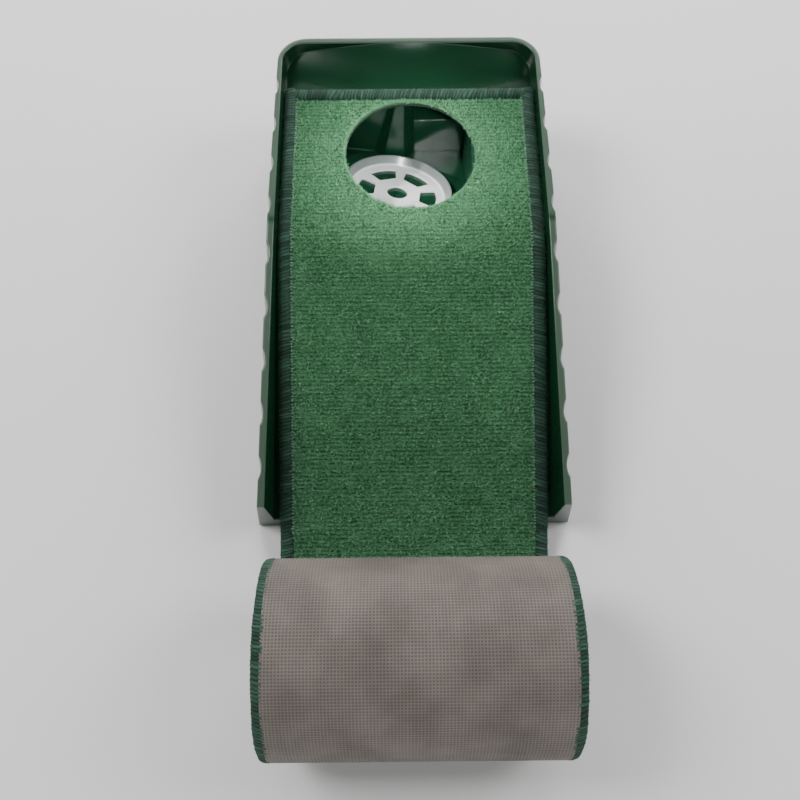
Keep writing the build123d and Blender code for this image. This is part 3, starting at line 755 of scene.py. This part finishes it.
def ground_on_unit():
    """Sheet of roots: round the hole a ring that widens into a rectangle, then a strip down the ramp."""
    around = 240
    a = np.linspace(0, 2 * math.pi, around, endpoint=False)
    back, front = WHIP_W, MAT_BACK_Y + 75 * MM
    c, n = np.cos(a), np.sin(a)
    limit_x = PILE_HALF_W / np.maximum(np.abs(c), 1e-6)
    limit_s = np.where(n < 0, MAT_BACK_Y - back, front - MAT_BACK_Y) / np.maximum(np.abs(n), 1e-6)
    outer = np.minimum(limit_x, limit_s)
    points, uv = [], []
    low, high = ROOT_LIFTS
    levels = [(0.0, low), (0.0, high), (0.5, high), (1.0, high)]
    for share, lift in levels:
        r = HOLE_R + 0.1 * MM + (outer - HOLE_R) * share
        x, s = r * c, MAT_BACK_Y + r * n
        y, z = mat_point(s, np.full(around, lift))
        points.append(np.stack([x, y, z], -1))
        uv.append(np.stack([x, s], -1))
    quads = tube_quads(len(levels), around)
    made = mesh_object("turf_roots_deck", np.concatenate(points), quads, GROUND, np.concatenate(uv))
    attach(made, "ramp_unit")
    stations = along(front, S_RAMP, 2.5 * MM)
    sheet("turf_roots_ramp", GROUND, ROOT_LIFTS, PILE_HALF_W, stations, stations, "ramp_unit")
    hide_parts("mat_pile")


def mat_edges():
    """Whipping on the unit: two sides and the back."""
    stations = along(0.4 * MM, S_RAMP, STEP)
    for side, label in SIDES:
        made = whipping(f"whipping_{label}", side, stations, stations, "ramp_unit", 20 + side)
        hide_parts(f"mat_whipping_{label}")
    made = cross_whipping("whipping_back", WHIP_W / 2, 4.4 * MM, 2.8 * MM, "ramp_unit", 31)
    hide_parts("mat_whipping_back")


def cross_whipping(name, s_mid, half_s, half_lift, body, seed):
    """Whipped edge across the mat, round the line at distance s_mid."""
    draw = np.random.default_rng(seed)
    xs = along(-MAT_HALF_W + 7.5 * MM, MAT_HALF_W - 7.5 * MM, STEP)
    core_s, core_lift = core_section(half_s, half_lift)
    ridge = wraps(xs, draw)
    rough = draw.normal(0, YARN_SCATTER, ridge.shape)
    swell = half_s / (4.4 * MM) * (WRAP_RELIEF[0] * ridge + rough)
    s = s_mid - (core_s[None, :] + swell * np.cos(PHI)[None, :])
    swell = WRAP_RELIEF[1] * ridge + rough
    lift = WHIP_T / 2 + 0.15 * MM + core_lift[None, :] + swell * np.sin(PHI)[None, :]
    y, z = mat_point(s, lift)
    x = np.broadcast_to(xs[:, None], y.shape)
    points = np.stack([x, y, z], -1).reshape(-1, 3)
    uv = np.stack([np.broadcast_to(PHI / (2 * math.pi) * WRAP_GIRTH, x.shape), x], -1).reshape(-1, 2)
    quads = tube_quads(len(xs), AROUND)
    made = mesh_object(name, points, quads, YARN, uv, {"wrap": ridge.reshape(-1)})
    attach(made, body)
    return made


def edge_stitches():
    """Small light loops where the whipping is sewn to the turf."""
    draw = np.random.default_rng(41)
    s = np.arange(WHIP_W, S_RAMP, WRAP_PITCH)
    for side, label in SIDES:
        count = len(s) * 3
        x = side * (PILE_HALF_W + draw.uniform(-0.5, 0.5, count) * MM)
        at = np.repeat(s, 3) + draw.normal(0, 0.4 * MM, count)
        made = blades(f"edge_stitches_{label}", x, at, draw, height=4.2 * MM, width=0.5 * MM)
        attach(made, "ramp_unit")


def stitch_lines():
    """One thread stitch after another over the line where whipping and pile meet."""
    draw = np.random.default_rng(43)
    s = np.arange(WHIP_W + 1 * MM, S_RAMP - 1 * MM, 2.4 * MM)
    count = len(s)
    reach = np.array([-1.0, -0.35, 0.35, 1.0]) * MM
    arch = np.array([4.8, 6.25, 6.25, 4.9]) * MM
    for side, label in SIDES:
        x = side * PILE_HALF_W + reach[None, :] + draw.normal(0, 0.15 * MM, (count, 1))
        lift = arch[None, :] + draw.normal(0, 0.12 * MM, (count, 1))
        middle = s[:, None] + draw.normal(0, 0.25 * MM, (count, 1))
        middle = middle + reach[None, :] * draw.normal(0, 0.3, (count, 1))
        ss = np.stack([middle - 0.28 * MM, middle + 0.28 * MM], 2)
        y, z = mat_point(ss, np.repeat(lift[:, :, None], 2, 2))
        points = np.stack([np.repeat(x[:, :, None], 2, 2), y, z], -1).reshape(-1, 3)
        start = np.arange(count)[:, None] * 8
        quads = np.concatenate([start + 2 * k + np.array([0, 1, 3, 2]) for k in range(3)], 0)
        made = mesh_object(f"stitch_line_{label}", points, quads, STITCH)
        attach(made, "ramp_unit")


def bend_to_floor():
    """The stretch between ramp and roll, whose flat end is drawn out as the roll travels.

    The mat that the roll lays down is there at rest already, pressed together between the two STRETCH_Y.
    """
    stretch_from, stretch_to = flat_s(STRETCH_Y[0]), flat_s(STRETCH_Y[1])
    first = along(S_RAMP, stretch_from, STEP)[:-1]
    weight = np.linspace(0, 1, 1500)
    last = along(stretch_to, S_CONTACT, STEP)[1:]
    stations = np.concatenate([first, into_stretch(weight), last])
    laid = np.concatenate([first, into_stretch(weight) + weight * ROLL_TRAVEL, last + ROLL_TRAVEL])
    made = []
    for side, label in SIDES:
        piece = whipping(f"bend_whipping_{label}", side, stations, laid, None, 50 + side)
        made.append((piece, f"span_whipping_{label}"))
    few, few_laid = (np.append(values[::5], values[-1]) for values in (stations, laid))
    half_w = MAT_HALF_W - 2.5 * MM
    piece = sheet("bend_backing", BACKING_UV, BACKING_LIFTS, half_w, few, few_laid, None)
    made.append((piece, "span_backing"))
    piece = sheet("bend_roots", GROUND, ROOT_LIFTS, PILE_HALF_W, few, few_laid, None)
    made.append((piece, "span_pile"))
    draw = np.random.default_rng(61)
    x, s = tufts(S_RAMP, stretch_from, draw)
    made.append((blades("bend_fibres", x, s, draw), None))

    def pressed(laid_s):
        return into_stretch(np.clip(laid_s / ROLL_TRAVEL, 0, 1))

    parts = 3
    for part in range(parts):
        x, s = tufts(ROLL_TRAVEL * part / parts, ROLL_TRAVEL * (part + 1) / parts, draw, per_tuft=7)
        name = f"bend_fibres_laid_{part + 1}"
        made.append((blades(name, x, s, draw, width=0.55 * MM, squeeze=pressed), None))
    for piece, stands_for in made:
        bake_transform(piece)
        if stands_for:
            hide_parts(stands_for)


def contact_patch():
    """The flat patch before the roll: whipped edges over the CAD's backing and pile."""
    stations = along(S_CONTACT, S_FLAT - 9 * MM, STEP)
    for side, label in SIDES:
        name = f"contact_edge_{label}"
        made = whipping(name, side, stations, stations, "roll_contact", 70 + side, clamp="below")
        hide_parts(f"contact_whipping_{label}")
    set_material("contact_backing", BACKING_OBJECT)
    set_material("contact_pile", GROUND_OBJECT)


def rolled_rest():
    """The roll: whipped edges and end, and backing, round the CAD's pile."""
    start = S_FLAT - math.sqrt(ROLL_SWEEP_R**2 - (ROLL_R - WHIP_T) ** 2)
    whip_end = S_END - WHIP_W * 0.9
    stations = along(start, whip_end, 0.42 * MM)
    for side, label in SIDES:
        made = whipping(f"rolled_edge_{label}", side, stations, stations, "roll", 80 + side, clamp="inside")
        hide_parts(f"roll_whipping_{label}")
    stations = along(start + 8 * MM, whip_end, 2.2 * MM)
    lifts, half_w = (0.35 * MM, BACKING_LIFTS[1]), MAT_HALF_W - 6.0 * MM
    made = sheet(
        "rolled_backing", BACKING_UV, lifts, half_w, stations, stations, "roll", inside=True
    )
    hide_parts("roll_backing")
    set_material("roll_pile", GROUND_OBJECT)
    made = cross_whipping("rolled_end", S_END - 3.65 * MM, 2.9 * MM, 2.6 * MM, "roll", 90)
    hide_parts("roll_whipping_end")


def object_version(material, name):
    """The same material, reading object coordinates in place of UVs, for CAD nodes."""
    made = material.copy()
    made.name = name
    tree = made.node_tree
    for coordinates in [each for each in tree.nodes if each.type == "TEX_COORD"]:
        for old in list(coordinates.outputs["UV"].links):
            target = old.to_socket
            tree.links.remove(old)
            tree.links.new(coordinates.outputs["Object"], target)
    return made


GROUND_OBJECT = object_version(GROUND, "turf_ground_cut")

set_material("base_shell", GREEN)
set_material("ball_well", WELL_GREEN_PAINTED_FILL)
set_material("cup", CUP_WHITE)
set_material("well_screws", SCREW)
set_material("antislip_pads", RUBBER)
set_material("tape_strips", TAPE)
# the mat's backing carries the painted shadow round the hole
set_material("mat_backing", BACKING_HOLE_SHADOW)
for name in ("base_shell", "ball_well", "cup"):
    smooth_by_angle(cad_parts[name], 25)

ground_on_unit()
turf_on_unit()
mat_edges()
whipping_fuzz()
edge_stitches()
stitch_lines()
bend_to_floor()
contact_patch()
rolled_rest()


# ---------------------------------------------------------------- floor, light, camera
EYE = Vector((-13.0, -491.5, 731.3)) * MM
AIM = Vector((-10.3, -202.3, 60.0)) * MM


def studio():
    floor_mesh = bpy.data.meshes.new("floor")
    size, drop = 20.0, -0.4 * MM
    corners = [(-size, -size, drop), (size, -size, drop), (size, size, drop), (-size, size, drop)]
    floor_mesh.from_pydata(corners, [], [(0, 1, 2, 3)])
    floor = bpy.data.objects.new("floor", floor_mesh)
    material, _, shader = new_material("floor_pale")
    shader.inputs["Base Color"].default_value = (0.72, 0.72, 0.71, 1)
    shader.inputs["Roughness"].default_value = 0.7
    floor_mesh.materials.append(material)
    bpy.context.scene.collection.objects.link(floor)
    world = bpy.data.worlds.new("studio")
    world.use_nodes = True
    tree = world.node_tree
    background = tree.nodes["Background"]
    split = tree.nodes.new("ShaderNodeSeparateXYZ")
    link(tree, tree.nodes.new("ShaderNodeTexCoord").outputs["Generated"], split.inputs[0])
    sky = ramp(tree, split.outputs["Z"], [(0.45, (0.93, 0.96, 1.0)), (0.72, grey(0.04))])
    link(tree, sky, background.inputs["Color"])
    background.inputs["Strength"].default_value = 0.55
    bpy.context.scene.world = world

    def place(name, data, at, aim):
        made = bpy.data.objects.new(name, data)
        made.location = at
        made.rotation_euler = (Vector(aim) - Vector(at)).to_track_quat("-Z", "Y").to_euler()
        bpy.context.scene.collection.objects.link(made)
        return made

    def area(name, at, aim, width, height, watts):
        light = bpy.data.lights.new(name, "AREA")
        light.shape = "RECTANGLE"
        light.size, light.size_y = width, height
        light.energy = watts
        place(name, light, at, aim)

    def into_hole(name, at, watts):
        """Narrow lamp that shines into the hole only."""
        lamp = bpy.data.lights.new(name, "SPOT")
        lamp.energy = watts
        lamp.shadow_soft_size = 0.05
        lamp.spot_size = math.radians(4.6)
        lamp.spot_blend = 0.4
        place(name, lamp, at, (0, -0.004, 0.1))

    area("window_behind", (0.1, 1.25, 0.72), (0, 0, 0.09), 1.6, 0.5, 30)
    area("key", (-1.35, 0.15, 1.95), (0, -0.02, 0.05), 0.9, 0.9, 42)
    area("side", (1.5, 0.1, 1.7), (0, -0.02, 0.05), 0.9, 0.9, 24)
    area("fill", (0.2, -2.2, 0.9), (0, -0.2, 0.05), 1.6, 0.8, 16)
    into_hole("hole_left", (-0.72, -0.22, 1.4), 150)
    into_hole("hole_right", (0.55, -0.30, 1.45), 75)
    into_hole("hole_front", (0.06, -0.98, 1.3), 90)

    camera = bpy.data.cameras.new("camera")
    camera.lens = 41.5
    camera.sensor_width = 36.0
    camera.clip_start = 0.01
    bpy.context.scene.camera = place("camera", camera, EYE, AIM)


studio()
